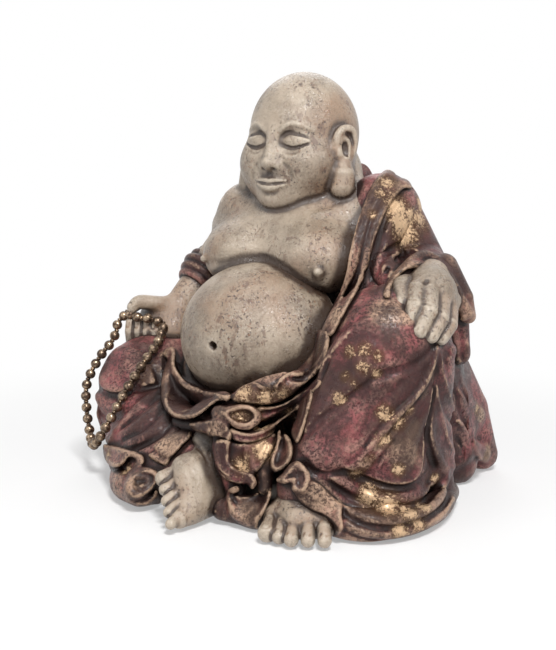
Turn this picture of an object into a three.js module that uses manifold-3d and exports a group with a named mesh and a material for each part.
// A seated laughing figure of cast resin: a bald man with a bare chest and a big belly, one knee up and one
// knee down, in a robe that leaves the right shoulder bare, with a loop of beads hanging from the right hand.
// Sizes are in mm and +Z is up. The figure faces -Y, and +X is the figure's left. Its castings are soft-edged
// forms written as distance functions. Each is meshed on a grid and then cut by those that lie against it.
import * as THREE from 'three';
import { mergeVertices } from 'three/addons/utils/BufferGeometryUtils.js';
import Module from 'manifold-3d';

const wasm = await Module();
wasm.setup();

// Fits and the base
const BOND_GAP = 0.4; // between two castings that are bonded together
const FELT_THICKNESS = 1.2;
const FELT_RADIUS = 72;
const PLATE_RADIUS = 64;
const PLATE_THICKNESS = 3;
const LEDGE_WIDTH = 6; // the plate's edge that the castings rest on
const WALL = 8; // of the hollow castings
const FLOOR = 12; // the height of the castings' floor round the hole over the plate
const BASE_AT = [6, -14];

// Head and neck
const HEAD_AT = [1, 14, 206];
const HEAD_HALF_WIDTH = 32;
const HEAD_HALF_DEPTH = 34.5;
const HEAD_HALF_HEIGHT = 36;
const JAW_DROP = 20; // from the middle of the skull to the middle of the jaw
const JAW_FORWARD = 7.5;
const JAW_HALF_WIDTH = 33;
const JAW_HALF_DEPTH = 28;
const JAW_HALF_HEIGHT = 25;
const NOSE_RADIUS = 5;
const LOBE_RADIUS = 7.6;
const LOBE_DROP = 30.5; // from the middle of the skull to the middle of an ear lobe
const EAR_BACK = 6; // how much farther back the right ear is, because the head is turned a little
const NECK_RADIUS = 21;
const NAPE_RADIUS = 4.5; // of the roll of skin at the nape

// Body
const CHEST_AT = [3, 16, 138];
const CHEST_HALF_WIDTH = 47;
const CHEST_HALF_DEPTH = 40;
const CHEST_HALF_HEIGHT = 43;
const SHOULDER_RADIUS = 20;
const BREAST_RADIUS = 25;
const BREAST_SPREAD = 25; // from the middle of the chest to the middle of a breast
const BELLY_AT = [2, -31, 89];
const BELLY_HALF_WIDTH = 49;
const BELLY_HALF_DEPTH = 46.5;
const BELLY_HALF_HEIGHT = 43.5;
const BELLY_BACK = -20; // the flat back of the belly
const NAVEL_RADIUS = 2.4;
const HIP_RADIUS = 52;

// Arms, hands and feet
const SHOULDER_RIGHT = [-37, 14, 155];
const ELBOW_RIGHT = [-69, 9, 118];
const WRIST_RIGHT = [-75, -12, 99];
const SHOULDER_LEFT = [50, 20, 159];
const ELBOW_LEFT = [74, 22, 129];
const WRIST_LEFT = [98, -6, 127];
const UPPER_ARM_RADIUS = 14.5;
const FOREARM_RADIUS = 11;
const FINGER_RADIUS = 3.3;
const FINGER_PITCH = 5.8;
const FIST_AT = [-87, -36, 83]; // the middle of the four curled fingers
const FIST_HEIGHT = 12;
const THUMB_RADIUS = 4.6;
const LEFT_FINGER_RADIUS = 4.3;
const ANKLE_RIGHT = [8, -90, 32];
const ANKLE_LEFT = [68, -88, 18];
const TOE_RADIUS = 4;

// Legs and robe
const KNEE_LEFT = [90, -42, 94];
const KNEE_LEFT_RADIUS = 27;
const KNEE_RIGHT = [-82, -36, 49];
const KNEE_RIGHT_RADIUS = 29;
const CLOTH = 5; // how far the robe stands off the skin
const SLEEVE_RADIUS = 19;
const SLEEVE_HANG = 44; // from the wrist to the foot of the hanging sleeve
const HEM_RADIUS = 9; // the thick edge of the robe where it lies on the ground
const FLARE = [97, 69, 10]; // the corner of the robe behind the left leg
const FOLD_RADIUS = 12; // of the long folds down the back
const FOLD_RISE = 3.5; // how far they stand off the robe
const BAND_RADIUS = 5;
const SASH_RADIUS = 7;

// Beads
const BEAD_RADIUS = 3;
const SPACER_LENGTH = 1.2; // from bead to bead
const THREAD_RADIUS = 0.9;
const BEAD_CLEARANCE = 0.8; // from the strand to what it lies on
const SWING_GAP = 0.8; // between the loop's ends and the row in the hand, so that the loop can swing

const RESIN_SKIN = [0.56, 0.5, 0.43];
const RESIN_ROBE = [0.3, 0.16, 0.17];
const RESIN_EDGE = [0.5, 0.36, 0.3];
const BEAD_BRONZE = [0.42, 0.34, 0.24];
const FELT_DARK = [0.06, 0.06, 0.06];

// Points and directions are arrays of three numbers.
const plus = (a, b) => [a[0] + b[0], a[1] + b[1], a[2] + b[2]];
const minus = (a, b) => [a[0] - b[0], a[1] - b[1], a[2] - b[2]];
const times = (a, s) => [a[0] * s, a[1] * s, a[2] * s];
const dot = (a, b) => a[0] * b[0] + a[1] * b[1] + a[2] * b[2];
const length = (a) => Math.sqrt(dot(a, a));
const unit = (a) => times(a, 1 / length(a));
const between = (a, b, t) => [a[0] + (b[0] - a[0]) * t, a[1] + (b[1] - a[1]) * t, a[2] + (b[2] - a[2]) * t];
const vector = (a) => new THREE.Vector3(...a);
const smooth = (points, steps) => {
  const curve = new THREE.CatmullRomCurve3(points.map(vector), false, 'centripetal');
  return curve.getPoints(steps).map((q) => q.toArray());
};

// A form has far(p), the distance in mm from p to its surface, negative inside, and lo and hi, the corners
// of a box round it.
const form = (far, lo, hi) => ({ far, lo, hi });

// An egg-shaped form with three half sizes, turned by angles in degrees about x, y and z.
function egg(at, half, turn = [0, 0, 0]) {
  const euler = new THREE.Euler(...turn.map(THREE.MathUtils.degToRad), 'XYZ');
  const m = new THREE.Matrix4().makeRotationFromEuler(euler).elements;
  const reach = [0, 1, 2].map((i) => Math.hypot(m[i] * half[0], m[4 + i] * half[1], m[8 + i] * half[2]));
  const far = (p) => {
    const x = p[0] - at[0];
    const y = p[1] - at[1];
    const z = p[2] - at[2];
    const u = (m[0] * x + m[1] * y + m[2] * z) / half[0];
    const v = (m[4] * x + m[5] * y + m[6] * z) / half[1];
    const w = (m[8] * x + m[9] * y + m[10] * z) / half[2];
    const k = Math.sqrt(u * u + v * v + w * w);
    const g = length([u / half[0], v / half[1], w / half[2]]);
    return g > 1e-9 ? (k * (k - 1)) / g : -Math.min(...half);
  };
  return form(far, minus(at, reach), plus(at, reach));
}

// A rounded form along straight runs from point to point, with a radius at each point.
function limb(points, radii) {
  const runs = points.slice(1).map((q, i) => minus(q, points[i]));
  const squares = runs.map((q) => dot(q, q));
  const far = (p) => {
    let best = Infinity;
    for (let i = 0; i < runs.length; i++) {
      const d = minus(p, points[i]);
      const t = Math.min(1, Math.max(0, dot(d, runs[i]) / squares[i]));
      const gap = length(minus(d, times(runs[i], t)));
      best = Math.min(best, gap - radii[i] - (radii[i + 1] - radii[i]) * t);
    }
    return best;
  };
  const most = Math.max(...radii);
  const lo = [0, 1, 2].map((k) => Math.min(...points.map((q) => q[k])) - most);
  const hi = [0, 1, 2].map((k) => Math.max(...points.map((q) => q[k])) + most);
  return form(far, lo, hi);
}

// The same along a smooth curve through the points, from thin at its ends to thick in the middle.
function roll(points, thick, thin = thick) {
  const path = smooth(points, 4 * (points.length - 1));
  return limb(path, path.map((q, i) => thin + (thick - thin) * Math.sin((Math.PI * i) / (path.length - 1))));
}

// The direction in which a form's distance grows fastest.
function slope(f, p, step = 0.5) {
  const at = (x, y, z) => f.far([p[0] + x, p[1] + y, p[2] + z]);
  return unit([[step, 0, 0], [0, step, 0], [0, 0, step]].map((d) => at(...d) - at(...times(d, -1))));
}

// The point moved straight off a form, or into it, until it lies away mm from its surface.
function setOff(p, f, away) {
  let q = p;
  for (let i = 0; i < 6; i++) q = plus(q, times(slope(f, q), away - f.far(q)));
  return q;
}

// Forms run together, with a soft hollow where they meet that starts soft mm away.
function together(soft, ...forms) {
  const far = (p) => {
    let d = forms[0].far(p);
    for (let i = 1; i < forms.length; i++) {
      const e = forms[i].far(p);
      const h = Math.max(soft - Math.abs(d - e), 0) / soft;
      d = Math.min(d, e) - (h * h * soft) / 4;
    }
    return d;
  };
  const lo = [0, 1, 2].map((k) => Math.min(...forms.map((f) => f.lo[k])) - soft / 4);
  const hi = [0, 1, 2].map((k) => Math.max(...forms.map((f) => f.hi[k])) + soft / 4);
  return form(far, lo, hi);
}

const less = (f, ...cuts) => form((p) => Math.max(f.far(p), ...cuts.map((c) => -c.far(p))), f.lo, f.hi);
const grown = (f, by) => form((p) => f.far(p) - by, f.lo.map((a) => a - by), f.hi.map((a) => a + by));

// The part of a form on the inner side of a plane through at that faces out.
const behind = (f, at, out) => form((p) => Math.max(f.far(p), dot(minus(p, at), unit(out))), f.lo, f.hi);

// A closed surface round a form: one point in each grid cell that the surface crosses, joined over each grid
// edge that it crosses.
function skin(f, cell) {
  const start = f.lo.map((a) => a - 1.5 * cell);
  const n = f.hi.map((b, k) => Math.ceil((b + 1.5 * cell - start[k]) / cell) + 1);
  const steps = [1, n[0], n[0] * n[1]];
  const values = new Float32Array(n[0] * n[1] * n[2]).fill(1);
  const each = (from, to, visit) => {
    for (let k = from; k < n[2] - to; k++)
      for (let j = from; j < n[1] - to; j++)
        for (let i = from; i < n[0] - to; i++) visit(i, j, k, i + j * steps[1] + k * steps[2]);
  };
  each(1, 1, (i, j, k, a) => {
    values[a] = f.far([start[0] + i * cell, start[1] + j * cell, start[2] + k * cell]) || 0.001;
  });
  fillPinches(values, steps);
  const points = [];
  const cells = new Int32Array(values.length);
  each(0, 1, (i, j, k, a) => {
    const crossing = crossingOf(values, steps, a);
    if (!crossing) return;
    cells[a] = points.length;
    const rough = plus(start, times(plus([i, j, k], crossing), cell));
    points.push(pulledOn(rough, f, 0.45 * cell));
  });
  const index = [];
  each(1, 1, (i, j, k, a) => {
    for (const axis of [0, 1, 2]) {
      const here = values[a] < 0;
      if (here === values[a + steps[axis]] < 0) continue;
      const s = steps[(axis + 1) % 3];
      const t = steps[(axis + 2) % 3];
      const ring = [cells[a - s - t], cells[a - t], cells[a], cells[a - s]];
      if (!here) ring.reverse();
      index.push(...splitSquare(ring, points));
    }
  });
  const geometry = new THREE.BufferGeometry();
  geometry.setAttribute('position', new THREE.Float32BufferAttribute(points.flat(), 3));
  geometry.setIndex(index);
  return geometry;
}

// The mean of the points where a surface crosses a grid cell's edges, from 0 to 1 in the cell.
function crossingOf(values, steps, a) {
  const value = (c) => values[a + (c & 1) * steps[0] + ((c >> 1) & 1) * steps[1] + (c >> 2) * steps[2]];
  const corner = (c) => [c & 1, (c >> 1) & 1, c >> 2];
  let sum = [0, 0, 0];
  let found = 0;
  for (let c = 0; c < 8; c++)
    for (const bit of [1, 2, 4]) {
      const e = c | bit;
      if (e === c || value(c) < 0 === value(e) < 0) continue;
      sum = plus(sum, between(corner(c), corner(e), value(c) / (value(c) - value(e))));
      found++;
    }
  return found ? times(sum, 1 / found) : null;
}

// Two triangles over four points, split along the shorter diagonal.
function splitSquare(ring, points) {
  const [a, b, c, d] = ring;
  const short = length(minus(points[a], points[c])) <= length(minus(points[b], points[d]));
  return short ? [a, b, c, a, c, d] : [b, c, d, b, d, a];
}

// Fills the grid points at which the surface would touch itself only along an edge or in a point.
function fillPinches(values, steps) {
  const last = values.length - steps[0] - steps[1] - steps[2];
  for (let changed = true; changed; ) {
    changed = false;
    for (let a = 0; a < last; a++) {
      const corner = (c) => a + (c & 1) * steps[0] + ((c >> 1) & 1) * steps[1] + (c >> 2) * steps[2];
      const solid = (c) => values[corner(c)] < 0;
      const fill = (c) => {
        values[corner(c)] = -0.001;
        changed = true;
      };
      for (const [s, t] of [[1, 2], [2, 4], [1, 4]])
        if (solid(0) === solid(s | t) && solid(s) === solid(t) && solid(0) !== solid(s))
          fill(solid(0) ? s : 0);
      const count = [0, 1, 2, 3, 4, 5, 6, 7].filter(solid).length;
      for (let c = 0; c < 4; c++) {
        if (count === 2 && solid(c) && solid(7 - c)) fill(c ^ 1);
        if (count === 6 && !solid(c) && !solid(7 - c)) fill(c);
      }
    }
  }
}

// A point pulled onto a form's surface, by no more than most mm.
function pulledOn(p, f, most) {
  let q = p;
  for (let i = 0; i < 3; i++) {
    const moved = minus(plus(q, times(slope(f, q, 0.2), -0.8 * f.far(q))), p);
    const far = length(moved);
    q = plus(p, far > most ? times(moved, most / far) : moved);
  }
  return q;
}

// A geometry as a manifold-3d solid, and back.
function solidOf(geometry) {
  const bare = geometry.clone();
  bare.deleteAttribute('normal');
  bare.deleteAttribute('uv');
  const merged = mergeVertices(bare, 1e-4);
  const vertProperties = new Float32Array(merged.attributes.position.array);
  const triVerts = new Uint32Array(merged.index.array);
  return new wasm.Manifold(new wasm.Mesh({ numProp: 3, vertProperties, triVerts }));
}

function geometryOf(solid) {
  const mesh = solid.getMesh();
  const geometry = new THREE.BufferGeometry();
  geometry.setAttribute('position', new THREE.Float32BufferAttribute(mesh.vertProperties, 3));
  geometry.setIndex([...mesh.triVerts]);
  return geometry;
}

// The room that a casting needs: the casting, and its surface moved out by the bond's gap along the normals.
function roomOf(solid) {
  const bigger = geometryOf(solid);
  bigger.computeVertexNormals();
  const { position, normal } = bigger.attributes;
  for (let i = 0; i < position.array.length; i++) position.array[i] += BOND_GAP * normal.array[i];
  return solidOf(bigger).add(solid);
}

const figure = new THREE.Group();
const rooms = []; // the rooms of the pieces made so far

// Adds a piece, cut by the room of each piece before it. Where that cuts it apart, its largest part is kept.
function addPiece(name, whole, colour, roughness = 0.62, metalness = 0) {
  let solid = whole;
  for (const room of rooms) {
    const a = solid.boundingBox();
    const b = room.boundingBox();
    const meets = [0, 1, 2].every((k) => a.min[k] < b.max[k] && b.min[k] < a.max[k]);
    if (meets) solid = solid.subtract(room);
  }
  const parts = solid.decompose().sort((a, b) => b.volume() - a.volume());
  rooms.push(roomOf(parts[0]));
  const material = new THREE.MeshStandardMaterial({ roughness, metalness });
  material.color.setRGB(...colour);
  const mesh = new THREE.Mesh(geometryOf(parts[0]), material);
  mesh.name = name;
  figure.add(mesh);
}

// A solid from one or more forms that are meshed apart and joined.
const cast = (cell, ...forms) => forms.map((f) => solidOf(skin(f, cell))).reduce((a, b) => a.add(b));

// The part of a solid on the inner side of a flat seam that faces out, half a bond's gap away from it.
function inner(solid, { at, out }) {
  const wide = 500;
  const box = new THREE.BoxGeometry(wide, wide, wide).translate(0, 0, (wide - BOND_GAP) / 2);
  const turn = new THREE.Quaternion().setFromUnitVectors(new THREE.Vector3(0, 0, 1), vector(unit(out)));
  return solid.subtract(solidOf(box.applyQuaternion(turn).translate(...at)));
}
const outer = (solid, { at, out }) => inner(solid, { at, out: times(out, -1) });

// Adds a casting: the solid, cut level at the felt and by the hollow inside the figure.
function addCasting(name, solid, colour) {
  const ground = { at: [0, 0, FELT_THICKNESS - BOND_GAP / 2], out: [0, 0, -1] };
  addPiece(name, inner(solid, ground).subtract(hollow), colour);
}

// The space inside the castings: what their walls leave, over a round hole with a ledge for the base plate.
function hollowSolid() {
  const bulk = together(14, torso, leftLeg, rightLeg, skirt);
  const raised = behind(grown(bulk, -WALL), [0, 0, FLOOR], [0, 0, -1]);
  const room = behind(raised, [0, BELLY_BACK + WALL, 0], [0, -1, 0]);
  const ledge = FELT_THICKNESS + PLATE_THICKNESS + BOND_GAP;
  const plate = PLATE_RADIUS + BOND_GAP;
  const hole = PLATE_RADIUS - LEDGE_WIDTH;
  const above = FLOOR + WALL;
  const profile = [[0, 0], [plate, 0], [plate, ledge], [hole, ledge], [hole, above], [0, above]];
  const opening = new THREE.LatheGeometry(profile.map(([r, z]) => new THREE.Vector2(r, z)), 28);
  return cast(18, room).add(solidOf(opening.rotateX(Math.PI / 2).translate(...BASE_AT, 0)));
}

// The skull, jaw and nose.
function headForm() {
  const skull = egg(HEAD_AT, [HEAD_HALF_WIDTH, HEAD_HALF_DEPTH, HEAD_HALF_HEIGHT]);
  const jawAt = plus(HEAD_AT, [0, -JAW_FORWARD, -JAW_DROP]);
  const jaw = egg(jawAt, [JAW_HALF_WIDTH, JAW_HALF_DEPTH, JAW_HALF_HEIGHT]);
  const tip = plus(HEAD_AT, [0, -HEAD_HALF_DEPTH - 2, -0.5 * HEAD_HALF_HEIGHT]);
  const nose = limb([plus(tip, [0, 3, 2.4 * NOSE_RADIUS]), tip], [0.6 * NOSE_RADIUS, NOSE_RADIUS]);
  return together(8, skull, jaw, nose);
}

// A long ear: its rim stands off the head, and its lobe hangs down beside the jaw.
function earForm(side) {
  const back = side < 0 ? EAR_BACK : 0;
  const top = plus(HEAD_AT, [side * (HEAD_HALF_WIDTH + 2), back - 9.5, -2]);
  const lobe = plus(HEAD_AT, [side * (HEAD_HALF_WIDTH + 3), back - 13, -LOBE_DROP]);
  const rim = limb([top, between(top, lobe, 0.5), lobe], [4.8, 4.4, LOBE_RADIUS]);
  return together(4, rim, egg(between(top, lobe, 0.15), [4, 8.5, 10.5]));
}

function neckForm() {
  const nape = plus(CHEST_AT, [0, 14, CHEST_HALF_HEIGHT]);
  return limb([nape, plus(HEAD_AT, [0, 4, -0.6 * HEAD_HALF_HEIGHT])], [NECK_RADIUS + 4, NECK_RADIUS]);
}

function napeForm() {
  const points = [[-21, 22, -24], [0, 33, -26], [21, 22, -24]];
  return roll(points.map((q) => plus(HEAD_AT, q)), NAPE_RADIUS, NAPE_RADIUS - 2);
}

function torsoForm() {
  const chest = egg(CHEST_AT, [CHEST_HALF_WIDTH, CHEST_HALF_DEPTH, CHEST_HALF_HEIGHT]);
  const shoulders = limb([SHOULDER_RIGHT, SHOULDER_LEFT], [SHOULDER_RADIUS, SHOULDER_RADIUS]);
  const fullness = [BREAST_RADIUS + 3, BREAST_RADIUS, BREAST_RADIUS - 4];
  const breasts = [-1, 1].map((side) => egg(plus(CHEST_AT, [side * BREAST_SPREAD, -29, -4]), fullness));
  const seat = [CHEST_AT[0], CHEST_AT[1] - 2, HIP_RADIUS + 22];
  const hips = egg(seat, [HIP_RADIUS + 4, 0.88 * HIP_RADIUS, HIP_RADIUS]);
  return together(14, chest, shoulders, ...breasts, hips, neckForm());
}

function bellyForm() {
  const belly = egg(BELLY_AT, [BELLY_HALF_WIDTH, BELLY_HALF_DEPTH, BELLY_HALF_HEIGHT]);
  const navel = plus(BELLY_AT, [0, -BELLY_HALF_DEPTH, 1]);
  return less(belly, limb([navel, plus(navel, [0, 3, 0])], [NAVEL_RADIUS, NAVEL_RADIUS]));
}

function rightArmForm() {
  const middle = between(SHOULDER_RIGHT, ELBOW_RIGHT, 0.5);
  const upper = limb([plus(SHOULDER_RIGHT, [-4, -1, 0]), middle, ELBOW_RIGHT],
    [UPPER_ARM_RADIUS + 2, UPPER_ARM_RADIUS, UPPER_ARM_RADIUS - 1]);
  return together(6, upper, limb([ELBOW_RIGHT, WRIST_RIGHT], [FOREARM_RADIUS + 2, FOREARM_RADIUS - 1]));
}

// The row of curled fingers runs from the index finger to the little finger.
const FIST_ROW = unit([-0.93, -0.3, 0.02]);
const fistPoint = (i, offset) => plus(plus(FIST_AT, times(FIST_ROW, (i - 1.5) * FINGER_PITCH)), offset);

function rightHandForm() {
  const palm = egg(plus(FIST_AT, [5, 13, 0]), [15, 14, 10.5]);
  const web = egg(plus(FIST_AT, [1, 13, 8]), [13, 8, 10]);
  const heel = limb([WRIST_RIGHT, plus(FIST_AT, [13, 14, -1])], [FOREARM_RADIUS - 1, 10]);
  const above = [[4, 7, 18], [-3, 1, 18.5], [-6, -2, 15.5]].map((q) => plus(FIST_AT, q));
  const thumb = roll([plus(WRIST_RIGHT, [-1, -6, 1]), ...above], THUMB_RADIUS, THUMB_RADIUS - 0.8);
  const radii = [FINGER_RADIUS, FINGER_RADIUS, FINGER_RADIUS - 0.4];
  const fingers = [0, 1, 2, 3].map((i) => {
    const joints = [[0, 9, -8], [0, 0, -FIST_HEIGHT / 2], [0, 0, FIST_HEIGHT / 2]];
    return limb(joints.map((q) => fistPoint(i, q)), radii);
  });
  return together(2.5, together(5, palm, web, heel, thumb), ...fingers);
}

// From knuckle to tip, as offsets from the left wrist, from the index finger to the little finger.
const LEFT_FINGERS = [
  [[13, -32, -3], [19, -43, -8], [18, -50, -18]],
  [[18, -27, -4], [26, -41, -10], [24, -49, -20]],
  [[21, -20, -8], [28.5, -35, -14], [27.5, -44, -23]],
  [[21, -13, -13], [28, -26, -19], [28, -36, -25]],
];

function leftHandForm() {
  const back = limb([WRIST_LEFT, plus(WRIST_LEFT, [8, -16, -4])], [11, 14]);
  const wide = egg(plus(WRIST_LEFT, [11, -18, -7]), [12, 18, 13]);
  const thumb = roll([plus(WRIST_LEFT, [-5, -12, -1]), plus(WRIST_LEFT, [-1, -30, -1]),
    plus(WRIST_LEFT, [6, -42, -8])], THUMB_RADIUS + 0.6, THUMB_RADIUS);
  const fingers = LEFT_FINGERS.map((finger) => limb(finger.map((q) => plus(WRIST_LEFT, q)),
    [LEFT_FINGER_RADIUS + 0.6, LEFT_FINGER_RADIUS, LEFT_FINGER_RADIUS - 0.4]));
  return together(3, together(6, back, wide), thumb, ...fingers);
}

// The sole faces forward and up, and the foot lies on its outer edge, with the big toe on top.
function rightFootForm() {
  const heel = limb([plus(ANKLE_RIGHT, [-2, 4, 4]), plus(ANKLE_RIGHT, [6, -2, -10])], [11, 12]);
  const ball = limb([plus(ANKLE_RIGHT, [-3, -17, -5]), plus(ANKLE_RIGHT, [7, -27, -21])], [7.5, 6.5]);
  const middle = egg(plus(ANKLE_RIGHT, [2, -14, -12]), [11, 15, 15], [0, 0, 20]);
  const edge = limb([plus(ANKLE_RIGHT, [10, -4, -21]), plus(ANKLE_RIGHT, [9, -37, -25])], [9, 5.2]);
  const toes = [0, 1, 2, 3, 4].map((i) => {
    const root = plus(ANKLE_RIGHT, between([-5, -21, -5], [8, -36, -23], i / 4));
    const tip = plus(ANKLE_RIGHT, between([-10, -27, -9], [9, -44, -26], i / 4));
    return limb([root, tip], [TOE_RADIUS, i ? TOE_RADIUS - 0.2 * i : TOE_RADIUS + 1.2]);
  });
  return together(2.5, together(7, heel, ball, middle, edge), ...toes);
}

// The left foot stands flat, with its toes forward.
function leftFootForm() {
  const top = limb([ANKLE_LEFT, plus(ANKLE_LEFT, [8, -14, -7])], [13, 9]);
  const ball = limb([plus(ANKLE_LEFT, [-7, -12, -9]), plus(ANKLE_LEFT, [19, -8, -10])], [7.5, 6.5]);
  const toes = [0, 1, 2, 3, 4].map((i) => {
    const root = plus(ANKLE_LEFT, [-8 + 6.8 * i, i < 4 ? -13 : -9, -7.5]);
    const tip = plus(ANKLE_LEFT, [-3 + 7.4 * i, -27 + (i > 2 ? 4 * (i - 2) : 0), -13 + (i ? 0 : 0.6)]);
    return limb([root, tip], [TOE_RADIUS, i ? TOE_RADIUS - 0.1 * i : TOE_RADIUS + 1.2]);
  });
  return together(2.5, together(7, top, ball), ...toes);
}

function leftLegForm() {
  const hip = [CHEST_AT[0] + 0.6 * HIP_RADIUS, CHEST_AT[1] - 6, HIP_RADIUS];
  const ankle = plus(ANKLE_LEFT, [4, 0, 6]);
  const thigh = limb([hip, plus(KNEE_LEFT, [-2, 2, 2])], [HIP_RADIUS - 18, KNEE_LEFT_RADIUS]);
  const shin = limb([KNEE_LEFT, between(KNEE_LEFT, ankle, 0.55), ankle],
    [KNEE_LEFT_RADIUS, KNEE_LEFT_RADIUS - 5, KNEE_LEFT_RADIUS - 11]);
  const skirts = [
    limb([plus(KNEE_LEFT, [4, 2, -4]), [103, -58, 12]], [KNEE_LEFT_RADIUS - 1, 17]),
    limb([plus(KNEE_LEFT, [4, 10, -6]), [106, -20, 12]], [KNEE_LEFT_RADIUS - 3, 15]),
    limb([[80, 0, 84], [94, 36, 12]], [26, 14]),
  ];
  const front = limb([[70, -78, 16], [94, -76, 10], [106, -60, 8]], [14, 12, 12]);
  return together(15, thigh, shin, ...skirts, front);
}

function rightLegForm() {
  const hip = [CHEST_AT[0] - 0.6 * HIP_RADIUS, CHEST_AT[1] - 10, HIP_RADIUS - 6];
  const thigh = limb([hip, plus(KNEE_RIGHT, [4, 8, -1])], [HIP_RADIUS - 16, KNEE_RIGHT_RADIUS + 2]);
  const knee = egg(KNEE_RIGHT, [KNEE_RIGHT_RADIUS, KNEE_RIGHT_RADIUS, KNEE_RIGHT_RADIUS + 1]);
  const shin = limb([plus(KNEE_RIGHT, [2, -4, -15]), [-34, -76, 26], plus(ANKLE_RIGHT, [-8, 2, -8])],
    [KNEE_RIGHT_RADIUS - 1, 24, 16]);
  const ground = limb([[-88, -34, 14], [-62, -74, 14], [-26, -97, 13]], [15, 15, 12]);
  return together(14, thigh, knee, shin, ground);
}

// The robe behind the figure, where it spreads over the ground.
function skirtForm() {
  const middle = egg([0, 34, 16], [88, 52, 46]);
  const left = limb([[78, 28, 72], [90, 54, 40], FLARE], [24, 16, 10]);
  const right = limb([[-60, 30, 50], [-84, 40, 12]], [26, 14]);
  return together(16, middle, left, right);
}

const torso = torsoForm();
const belly = bellyForm();
const leftLeg = leftLegForm();
const rightLeg = rightLegForm();
const skirt = skirtForm();
const armpit = limb([[58, 2, 150], [68, -8, 112]], [13, 11]);
const robe = together(15, grown(torso, CLOTH), skirt, leftLeg, rightLeg, armpit);
const hollow = hollowSolid();

// The row of beads that lies over the curled fingers, from the little finger to the index finger.
const OVER = FIST_HEIGHT / 2 + FINGER_RADIUS + BEAD_RADIUS - 1;
const HELD_ROW = [fistPoint(3.8, [2, 3, OVER]), fistPoint(1.6, [2, 3, OVER]),
  fistPoint(0.2, [2, 3, OVER - 1]), fistPoint(-0.9, [0.5, -0.5, OVER - 5])];

// The string below the hand, from the index finger to the little finger. Its points are chosen by eye and
// then laid on the knee. Its two ends lie against the ends of the row in the hand.
const STRING_DOWN = [[-71, -36, 84], [-66, -46, 79], [-65, -58, 71], [-67, -70, 59], [-69, -80, 46],
  [-74, -86, 33], [-83, -84, 23], [-93, -77, 19]];
const STRING_UP = [[-103, -69, 24], [-108, -66, 37], [-110, -63, 52], [-107, -55, 67], [-103, -46, 78],
  [-103, -41, 88]];

// The point that lies beyond the first of two points, on the line from the second.
const beyond = (a, b) => plus(a, times(unit(minus(a, b)), SWING_GAP));

function stringPath() {
  const near = BEAD_RADIUS + BEAD_CLEARANCE;
  const laid = [...STRING_DOWN, ...STRING_UP].map((q) => (robe.far(q) < near ? setOff(q, robe, near) : q));
  const path = [beyond(HELD_ROW[3], HELD_ROW[2]), ...laid, beyond(HELD_ROW[0], HELD_ROW[1])];
  return new THREE.CatmullRomCurve3(path.map(vector), false, 'centripetal');
}

// Beads on a thread as one solid along a curve: four rings of points swell and shrink over each bead.
function strand(curve) {
  const sides = 6;
  const total = curve.getLength();
  const beads = Math.floor(total / (2 * BEAD_RADIUS + SPACER_LENGTH));
  const rings = [{ along: 0, radius: THREAD_RADIUS }];
  for (let bead = 0; bead < beads; bead++)
    for (const s of [-0.93, -0.4, 0.4, 0.93]) {
      const along = ((bead + 0.5) * total) / beads + s * BEAD_RADIUS;
      rings.push({ along, radius: Math.max(THREAD_RADIUS, BEAD_RADIUS * Math.sqrt(1 - s * s)) });
    }
  rings.push({ along: total, radius: THREAD_RADIUS });
  const positions = [];
  const index = [];
  let side = new THREE.Vector3(0, 0, 1).cross(curve.getTangentAt(0));
  rings.forEach(({ along, radius }, r) => {
    const at = curve.getPointAt(along / total);
    const ahead = curve.getTangentAt(along / total);
    side = side.clone().addScaledVector(ahead, -side.dot(ahead)).normalize();
    const up = ahead.clone().cross(side);
    for (let i = 0; i < sides; i++) {
      const turn = (2 * Math.PI * i) / sides;
      const across = side.clone().multiplyScalar(Math.cos(turn)).addScaledVector(up, Math.sin(turn));
      const q = at.clone().addScaledVector(across, radius);
      positions.push(...q.toArray());
      if (r === 0) continue;
      const a = (r - 1) * sides + i;
      const b = (r - 1) * sides + ((i + 1) % sides);
      index.push(a, b, b + sides, a, b + sides, a + sides);
    }
  });
  const end = (rings.length - 1) * sides;
  for (let i = 1; i + 1 < sides; i++) index.push(0, i + 1, i, end, end + i, end + i + 1);
  const geometry = new THREE.BufferGeometry();
  geometry.setAttribute('position', new THREE.Float32BufferAttribute(positions, 3));
  geometry.setIndex(index);
  return solidOf(geometry);
}

// The flat seams: under the chin and the nape, where the right arm leaves the shoulder, at the waist, along
// the lapel, across the back from the left shoulder, down both sides, between the legs, beside and over the
// left knee.
const NECK_SEAM = { at: plus(HEAD_AT, [0, -22, -45]), out: [0, 0.4, -0.92] };
const ARM_SEAM = { at: plus(SHOULDER_RIGHT, [-6, 0, 0]), out: [-1, -0.1, 0.15] };
const WAIST_SEAM = { at: [0, 0, 84], out: [0, 0, 1] };
const LAPEL_SEAM = { at: [53, -1, 151], out: [0.85, 0.44, -0.3] };
const YOKE_SEAM = { at: [38, 32, 169], out: [0.25, 0.716, -0.651] };
const SIDE_SEAM = { at: [0, 24, 0], out: [0, 1, 0] };
const CENTRE_SEAM = { at: [18, 0, 0], out: [1, 0, 0] };
const THIGH_SEAM = { at: [53, 0, 0], out: [1, 0, 0] };
const LAP_SEAM = { at: [60, -8, 98], out: [0, 0.75, 0.66] };

function addBody() {
  addPiece('belly', inner(cast(12, belly), { at: [0, BELLY_BACK, 0], out: [0, 1, 0] }), RESIN_SKIN);
  const head = cast(6.5, together(10, headForm(), neckForm(), napeForm()), earForm(-1), earForm(1));
  addCasting('head', inner(head, NECK_SEAM), RESIN_SKIN);
  const trunk = outer(cast(12, together(12, torso, rightArmForm())), NECK_SEAM);
  addCasting('right_arm', outer(trunk, ARM_SEAM), RESIN_SKIN);
  const chest = [ARM_SEAM, LAPEL_SEAM, YOKE_SEAM].reduce(inner, trunk);
  addCasting('torso', outer(chest, WAIST_SEAM), RESIN_SKIN);
}

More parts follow.
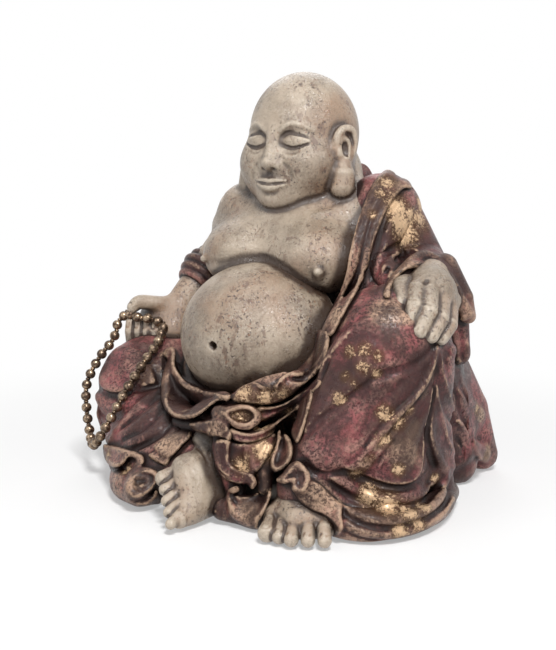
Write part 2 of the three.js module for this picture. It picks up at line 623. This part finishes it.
function addHandsAndFeet() {
  addCasting('right_hand', cast(4.2, rightHandForm()), RESIN_SKIN);
  addPiece('held_beads', strand(new THREE.CatmullRomCurve3(HELD_ROW.map(vector))), BEAD_BRONZE, 0.35, 0.8);
  addCasting('left_hand', cast(4.3, leftHandForm()), RESIN_SKIN);
  addCasting('right_foot', cast(4.7, rightFootForm()), RESIN_SKIN);
  addCasting('left_foot', cast(4.7, leftFootForm()), RESIN_SKIN);
}

// Points chosen by eye for a band of cloth, set off the form that it lies on.
const laidOn = (f, away, points) => points.map((q) => setOff(q, f, away));

function addRobeEdges() {
  const lapel = laidOn(torso, BAND_RADIUS / 2, [[53, 24, 182], [56, 8, 175], [54, -3, 161], [54, -14, 145],
    [55, -20, 132], [50, -20, 116], [48, -31, 103]]);
  addCasting('lapel', cast(7, roll(lapel, BAND_RADIUS)), RESIN_EDGE);
  const collar = laidOn(belly, 3, [[50, -38, 88], [46, -50, 75], [34, -62, 60], [4, -72, 52],
    [-28, -68, 54], [-46, -48, 66], [-52, -24, 80]]);
  addCasting('waist_collar', cast(7, roll(collar, BAND_RADIUS)), RESIN_EDGE);
  const cuffs = [[-9, -22, -10], [-8, -13, 5], [-5, 3, 11], [5, 8, 2], [12, 11, -14]];
  const cuff = cuffs.map((q) => plus(WRIST_LEFT, q));
  addCasting('left_cuff', cast(6, roll(cuff, BAND_RADIUS)), RESIN_EDGE);
  addCasting('right_cuff', cast(6, rightCuffForm()), RESIN_ROBE);
  addCasting('sash_bow', cast(5, bowForm()), RESIN_EDGE);
  const sash = [[46, -64, 64], [28, -82, 56], [0, -86, 46], [-30, -78, 42], [-52, -60, 50]];
  addCasting('waist_sash', cast(7, roll(sash, SASH_RADIUS)), RESIN_ROBE);
  const leftTail = [[28, -90, 56], [44, -92, 40], [50, -96, 22]];
  addCasting('left_sash_tail', cast(6, roll(leftTail, 8, 5)), RESIN_ROBE);
  const rightTail = [[22, -92, 54], [24, -94, 36], [34, -98, 14]];
  addCasting('right_sash_tail', cast(6, roll(rightTail, 9, 6)), RESIN_ROBE);
}

// A ring of round cloth about an axis.
function ring(at, axis, radius, thick) {
  const far = (p) => {
    const d = minus(p, at);
    const along = dot(d, axis);
    return Math.hypot(length(minus(d, times(axis, along))) - radius, along) - thick;
  };
  const reach = radius + thick;
  return form(far, minus(at, [reach, reach, reach]), plus(at, [reach, reach, reach]));
}

// A sleeve pushed down to the elbow, in three rolls round the arm.
function rightCuffForm() {
  const along = unit(minus(WRIST_RIGHT, ELBOW_RIGHT));
  const rolls = [[-6, 10.5], [2.5, 12], [11, 10.5]].map(([at, radius]) =>
    ring(plus(ELBOW_RIGHT, times(along, at)), along, radius, BAND_RADIUS + 0.5));
  return together(1, ...rolls);
}

function bowForm() {
  const knot = egg([27, -90, 61], [9, 8, 8]);
  const loop = roll([[26, -90, 62], [40, -86, 70], [50, -78, 76]], 8, 6);
  const tip = roll([[24, -91, 58], [14, -92, 52], [6, -90, 54]], 6, 4.5);
  return together(3, knot, loop, tip);
}

// The long folds down the back and over the ground behind, from above to below.
const BACK_FOLDS = [
  [[34, 50, 170], [14, 60, 120], [-24, 66, 70], [-58, 70, 20]],
  [[48, 44, 164], [36, 58, 110], [10, 70, 64], [-14, 86, 18]],
  [[60, 42, 150], [56, 56, 100], [36, 76, 56], [26, 86, 18]],
  [[72, 40, 120], [74, 50, 84], [66, 66, 50], [64, 78, 16]],
  [[-48, 40, 140], [-58, 50, 96], [-80, 48, 50], [-90, 44, 16]],
];

function addRobe() {
  const whole = cast(14, robe);
  const front = inner(whole, SIDE_SEAM);
  const left = outer(front, CENTRE_SEAM);
  const lap = inner(left, LAP_SEAM);
  addCasting('left_leg_drape', inner(lap, WAIST_SEAM).add(outer(lap, THIGH_SEAM)), RESIN_ROBE);
  addCasting('right_leg_drape', inner(inner(front, CENTRE_SEAM), WAIST_SEAM), RESIN_ROBE);
  addCasting('shoulder_drape', outer(outer(left, LAP_SEAM), LAPEL_SEAM), RESIN_ROBE);
  const folds = BACK_FOLDS.map((points) =>
    roll(laidOn(robe, FOLD_RISE - FOLD_RADIUS, points), FOLD_RADIUS, FOLD_RADIUS - 3));
  const margin = plus(SIDE_SEAM.at, [0, -16, 0]);
  const back = cast(12.5, behind(together(6, robe, ...folds), margin, times(SIDE_SEAM.out, -1)));
  addCasting('back_drape', outer(outer(back, SIDE_SEAM), YOKE_SEAM), RESIN_ROBE);
  const arm = limb([plus(SHOULDER_LEFT, [0, 2, 2]), ELBOW_LEFT, plus(WRIST_LEFT, [-1, 6, -1])],
    [SLEEVE_RADIUS + 3, SLEEVE_RADIUS - 1, SLEEVE_RADIUS - 7]);
  addCasting('left_sleeve', cast(10, arm), RESIN_ROBE);
  const hang = plus(WRIST_LEFT, [9, 18, -SLEEVE_HANG]);
  addCasting('sleeve_tail', cast(7, limb([plus(WRIST_LEFT, [4, 15, -12]), hang], [11, 7])), RESIN_ROBE);
}

// The thick edges of the robe that lie on the ground.
function addHems() {
  const left = [[58, -92, 10], [80, -89, 10], [103, -85, 9], [117, -66, 9], [119, -36, 8], [112, -8, 8]];
  addCasting('left_hem', cast(8.5, roll(left, HEM_RADIUS, HEM_RADIUS - 2)), RESIN_EDGE);
  const front = [[28, -104, 8], [42, -98, 8], [52, -100, 8]];
  addCasting('front_hem', cast(8, roll(front, HEM_RADIUS - 1, HEM_RADIUS - 3)), RESIN_EDGE);
  const right = [[-24, -113, 10], [-42, -103, 9], [-60, -84, 8], [-76, -64, 8]];
  addCasting('right_hem', cast(8, roll(right, HEM_RADIUS, HEM_RADIUS - 2)), RESIN_EDGE);
}

function addBase() {
  const felt = new THREE.CylinderGeometry(FELT_RADIUS, FELT_RADIUS, FELT_THICKNESS - BOND_GAP / 2, 48);
  felt.rotateX(Math.PI / 2).translate(...BASE_AT, (FELT_THICKNESS - BOND_GAP / 2) / 2);
  addPiece('base_felt', solidOf(felt), FELT_DARK, 1);
  const plate = new THREE.CylinderGeometry(PLATE_RADIUS, PLATE_RADIUS, PLATE_THICKNESS, 48);
  plate.rotateX(Math.PI / 2).translate(...BASE_AT, FELT_THICKNESS + PLATE_THICKNESS / 2);
  addPiece('base_plate', solidOf(plate), RESIN_SKIN, 0.8);
}

addBase();
addPiece('bead_loop', strand(stringPath()), BEAD_BRONZE, 0.35, 0.8);
addBody();
addRobe();
addRobeEdges();
addHems();
addHandsAndFeet();

// The origin goes to the middle of the base, without the bead loop.
const box = new THREE.Box3();
for (const mesh of figure.children) if (mesh.name !== 'bead_loop') box.expandByObject(mesh);
const middle = box.getCenter(new THREE.Vector3());
figure.position.set(-middle.x, -middle.y, -box.min.z);

export default figure;
